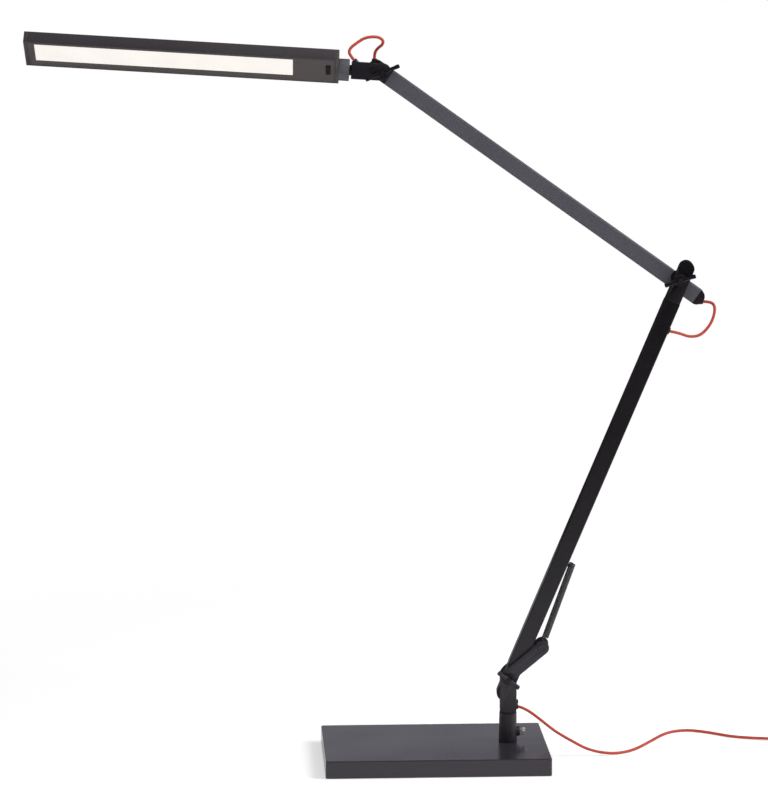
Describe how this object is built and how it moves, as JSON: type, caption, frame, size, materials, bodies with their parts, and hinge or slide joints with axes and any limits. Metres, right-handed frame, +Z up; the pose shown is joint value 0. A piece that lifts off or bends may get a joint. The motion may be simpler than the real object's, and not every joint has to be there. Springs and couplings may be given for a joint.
{
  "type": "led table lamp",
  "caption": "Table lamp with a flat rectangular base, a sprung lower arm, an upper arm and a long flat light head that tilts and rolls.",
  "frame": {"origin": "on the table under the middle of the base", "axes": "+Z up, +X along the base towards the post, +Y away from the front"},
  "size_m": [0.7591, 0.1545, 0.6517],
  "materials": {
    "base_paint": "satin metallic grey",
    "dark_paint": "satin dark grey",
    "arm_dark": "satin black",
    "arm_grey": "satin metallic grey",
    "head_paint": "satin grey",
    "black_plastic": "fine matte",
    "grey_plastic": "satin grey",
    "steel": "plain",
    "dark_steel": "blackened",
    "nickel": "bright",
    "ballast": "raw",
    "pad": "matte",
    "cord": "satin orange red",
    "diffuser": "opal",
    "board": "white solder mask",
    "led": "phosphor",
    "brass": "bright"
  },
  "bodies": {
    "base": {"base_cover": "base_paint", "base_weight": "ballast", "base_pad": "pad", "post": "dark_paint", "post_nut": "steel", "post_bush": "black_plastic", "supply_cord": "cord", "supply_coil": "cord", "cord_tie": "black_plastic", "adapter_body": "black_plastic", "adapter_face": "black_plastic", "adapter_pins": "steel", "adapter_relief": "black_plastic"},
    "thumbscrew": {"thumbscrew": "nickel"},
    "swivel": {"swivel_bracket": "dark_paint", "swivel_pin": "steel", "lever_pin": "steel", "pivot_bolt": "dark_steel", "pivot_washers": "black_plastic", "pivot_nut_washer": "dark_steel", "cord_grommet": "black_plastic"},
    "wing_nut_base": {"wing_nut_base": "black_plastic"},
    "lower_arm": {"lower_arm_tube": "arm_dark", "lower_foot_fitting": "black_plastic", "lower_top_fitting": "black_plastic", "lower_arm_grommet": "black_plastic", "lower_arm_cord": "cord", "spring_stud": "dark_steel", "balance_spring": "dark_steel"},
    "upper_arm": {"upper_arm_tube": "arm_grey", "upper_rear_cap": "black_plastic", "upper_front_fitting": "black_plastic", "upper_arm_cord": "cord", "elbow_bolt": "dark_steel", "elbow_disc": "black_plastic", "elbow_nut_washer": "dark_steel", "head_bolt": "dark_steel", "head_disc": "black_plastic", "head_nut_washer": "dark_steel", "elbow_loop_cord": "cord"},
    "wing_nut_elbow": {"wing_nut_elbow": "black_plastic"},
    "holder": {"holder_front": "black_plastic", "holder_rear": "black_plastic", "holder_screw": "dark_steel", "head_loop_cord": "cord"},
    "wing_nut_head": {"wing_nut_head": "black_plastic"},
    "head": {"head_housing": "head_paint", "head_cap_left": "black_plastic", "head_cap_right": "grey_plastic", "roll_collar": "grey_plastic", "roll_shaft": "steel", "roll_clip": "steel", "roll_washer": "black_plastic", "head_bezel": "head_paint", "diffuser": "diffuser", "led_board": "board", "led_chips": "led", "driver_board": "board", "dim_switch": "black_plastic"},
    "switch_button": {"switch_button": "black_plastic"}
  },
  "joints": [
    {"name": "base_swivel", "type": "hinge", "parent": "base", "child": "swivel", "pos_m": [0.066, 0, 0.045], "axis": [0, 0, 1], "range_deg": [-120, 120], "deforming": ["supply_cord"]},
    {"name": "thumbscrew_turn", "type": "hinge", "parent": "base", "child": "thumbscrew", "pos_m": [0.077, 0, 0.025], "axis": [1, 0, 0], "continuous": true},
    {"name": "lower_arm_tilt", "type": "hinge", "parent": "swivel", "child": "lower_arm", "pos_m": [0.066, 0, 0.07563], "axis": [0.061, 0.9981, 0], "range_deg": [-45, 6], "deforming": ["balance_spring"]},
    {"name": "wing_nut_base_turn", "type": "hinge", "parent": "swivel", "child": "wing_nut_base", "pos_m": [0.06514, -0.01397, 0.07563], "axis": [-0.061, -0.9981, 0], "continuous": true},
    {"name": "elbow_tilt", "type": "hinge", "parent": "lower_arm", "child": "upper_arm", "pos_m": [0.21424, -0.00907, 0.43419], "axis": [-0.061, -0.9981, 0], "range_deg": [-50, 55], "deforming": ["elbow_loop_cord"]},
    {"name": "wing_nut_elbow_turn", "type": "hinge", "parent": "upper_arm", "child": "wing_nut_elbow", "pos_m": [0.21357, -0.02005, 0.43419], "axis": [-0.061, -0.9981, 0], "continuous": true},
    {"name": "head_tilt", "type": "hinge", "parent": "upper_arm", "child": "holder", "pos_m": [-0.0463, 0.00687, 0.61584], "axis": [0.061, 0.9981, 0], "range_deg": [-90, 60], "deforming": ["head_loop_cord"]},
    {"name": "wing_nut_head_turn", "type": "hinge", "parent": "upper_arm", "child": "wing_nut_head", "pos_m": [-0.04697, -0.00411, 0.61584], "axis": [-0.061, -0.9981, 0], "continuous": true},
    {"name": "head_roll", "type": "hinge", "parent": "holder", "child": "head", "pos_m": [-0.0463, 0.00687, 0.61584], "axis": [0.9965, -0.0609, -0.0576], "range_deg": [-60, 90]},
    {"name": "switch_press", "type": "slide", "parent": "head", "child": "switch_button", "axis": [0.0815, 0.5451, 0.8344], "range_m": [0, 0.0008], "stiffness_N_per_m": 600}
  ]
}
